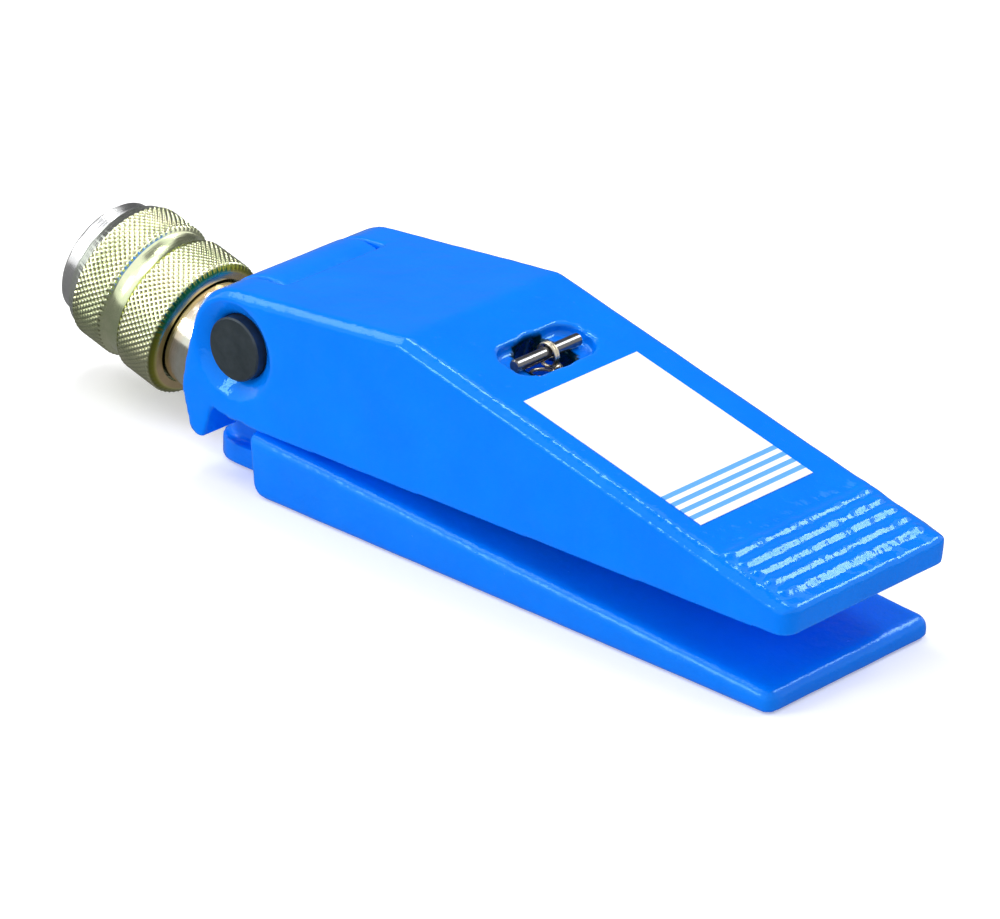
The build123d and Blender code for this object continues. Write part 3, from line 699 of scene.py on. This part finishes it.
# %% Springs in the coupler
def squeezed_spring(name, node, wire_radius, turns):
    inverse = coupler_frame.inverted()
    seen = [inverse @ vert.co for vert in nodes[node].data.vertices]
    low = min(point.z for point in seen) + wire_radius
    high = max(point.z for point in seen) - wire_radius
    radius = max(hypot(point.x, point.y) for point in seen) - wire_radius
    line = []
    for step in range(turns * STEPS + 1):
        turn = 2 * pi * step / STEPS
        height = low + (high - low) * step / (turns * STEPS)
        line.append(coupler_frame @ Vector((radius * cos(turn), radius * sin(turn), height)))
    piece = round_wire(name, line, wire_radius, spring_steel)
    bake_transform(piece)
    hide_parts(node)
    print(name, "from", round(low / MM, 1), "to", round(high / MM, 1), "mm along the axis")


squeezed_spring("sleeve_spring_wire", "sleeve_spring", 0.6 * MM, 5)
squeezed_spring("poppet_spring_wire", "poppet_spring", 0.5 * MM, 4)

# %% [markdown]
# The floor is pale and takes the shadow. The world is white where the camera and
# metal see it and softer where it lights, and two large soft lamps shape the jaws.

# %% Floor and light
FLOOR_HALF = 3.0
bm = bmesh.new()
bmesh.ops.create_grid(bm, x_segments=1, y_segments=1, size=FLOOR_HALF)
bmesh.ops.translate(bm, vec=(0, 0, -0.0004), verts=bm.verts[:])
floor_paper, shader = new_material("floor_paper", (0.9, 0.9, 0.9), roughness=0.9)
shader.inputs["Specular IOR Level"].default_value = 0.0
shader.inputs["Emission Color"].default_value = (1, 1, 1, 1)
seen = add_node(floor_paper, "ShaderNodeLightPath")
glow = add_node(floor_paper, "ShaderNodeMath", {1: 0.24})
glow.operation = "MULTIPLY"
floor_paper.node_tree.links.new(seen.outputs["Is Camera Ray"], glow.inputs[0])
wire(floor_paper, glow.outputs[0], shader, "Emission Strength")
ground = piece_from(bm, "floor", floor_paper)

world = bpy.data.worlds.new("studio")
bpy.context.scene.world = world
world.use_nodes = True
tree = world.node_tree
background = tree.nodes["Background"]
path = tree.nodes.new("ShaderNodeLightPath")
seen = tree.nodes.new("ShaderNodeMath")
seen.operation = "MAXIMUM"
tree.links.new(path.outputs["Is Camera Ray"], seen.inputs[0])
tree.links.new(path.outputs["Is Glossy Ray"], seen.inputs[1])
level = tree.nodes.new("ShaderNodeMapRange")
level.inputs["To Min"].default_value = 0.5
level.inputs["To Max"].default_value = 1.0
tree.links.new(seen.outputs[0], level.inputs["Value"])
tree.links.new(level.outputs["Result"], background.inputs["Strength"])
background.inputs["Color"].default_value = (1, 1, 1, 1)


def soft_lamp(name, place, target, size, power, shadow=True):
    data = bpy.data.lights.new(name, "AREA")
    data.use_shadow = shadow
    data.shape = "RECTANGLE"
    data.size, data.size_y = size
    data.energy = power
    lamp = bpy.data.objects.new(name, data)
    bpy.context.scene.collection.objects.link(lamp)
    lamp.location = place
    lamp.rotation_euler = (Vector(target) - Vector(place)).to_track_quat("-Z", "Y").to_euler()
    return lamp


soft_lamp("front_strip", Vector((-0.43, -0.78, 0.46)) * 1.4, (0, 0, 0), (0.3, 0.5), 4.5)
soft_lamp("edge_strip", Vector((-0.28, 0.20, 0.94)) * 1.5, (0, 0, 0), (0.25, 0.35), 3.0)
soft_lamp("side_panel", Vector((-0.60, -0.23, 0.76)) * 1.5, (0, 0, 0), (0.75, 0.6), 4.5)
soft_lamp("back_box", Vector((0.25, 0.67, 0.70)) * 1.5, (0, 0, 0), (0.7, 0.3), 6.5)
overhead = soft_lamp("overhead", (0, 0, 1.6), (0, 0, 0), (1.0, 1.0), 4.5)
overhead.visible_glossy = False
front_fill = soft_lamp("front_fill", Vector((0.1, -0.75, 0.65)) * 2.0, (0, 0, 0), (1.2, 1.2), 7.0, False)
front_fill.visible_glossy = False

# %% [markdown]
# In a studio, grey and black cards stand round a shiny object to give its reflections
# dark edges. These cards show in reflections alone: they cast no shadow and no light.

# %% Cards
def card(name, centre, size, normal, level):
    bm = bmesh.new()
    bmesh.ops.create_grid(bm, x_segments=1, y_segments=1, size=0.5)
    bmesh.ops.scale(bm, vec=(*size, 1), verts=bm.verts[:])
    turn = Vector(normal).to_track_quat("Z", "Y").to_matrix().to_4x4()
    bmesh.ops.transform(bm, matrix=Matrix.Translation(centre) @ turn, verts=bm.verts[:])
    material = bpy.data.materials.new(name)
    material.use_nodes = True
    tree = material.node_tree
    glow = tree.nodes.new("ShaderNodeEmission")
    glow.inputs["Color"].default_value = (*grey(level), 1)
    tree.links.new(glow.outputs[0], tree.nodes["Material Output"].inputs["Surface"])
    piece = piece_from(bm, name, material)
    piece.visible_camera = False
    piece.visible_diffuse = False
    piece.visible_shadow = False


card("card_floor", (0, 0, -0.0002), (5.6, 5.6), (0, 0, 1), 0.2)
card("card_back", (-2.2, 2.0, 1.7), (5, 3.6), (1, -1, 0), 0.12)
card("card_top", (0, 0.1, 2.4), (1.2, 1.6), (0, 0, -1), 0.2)
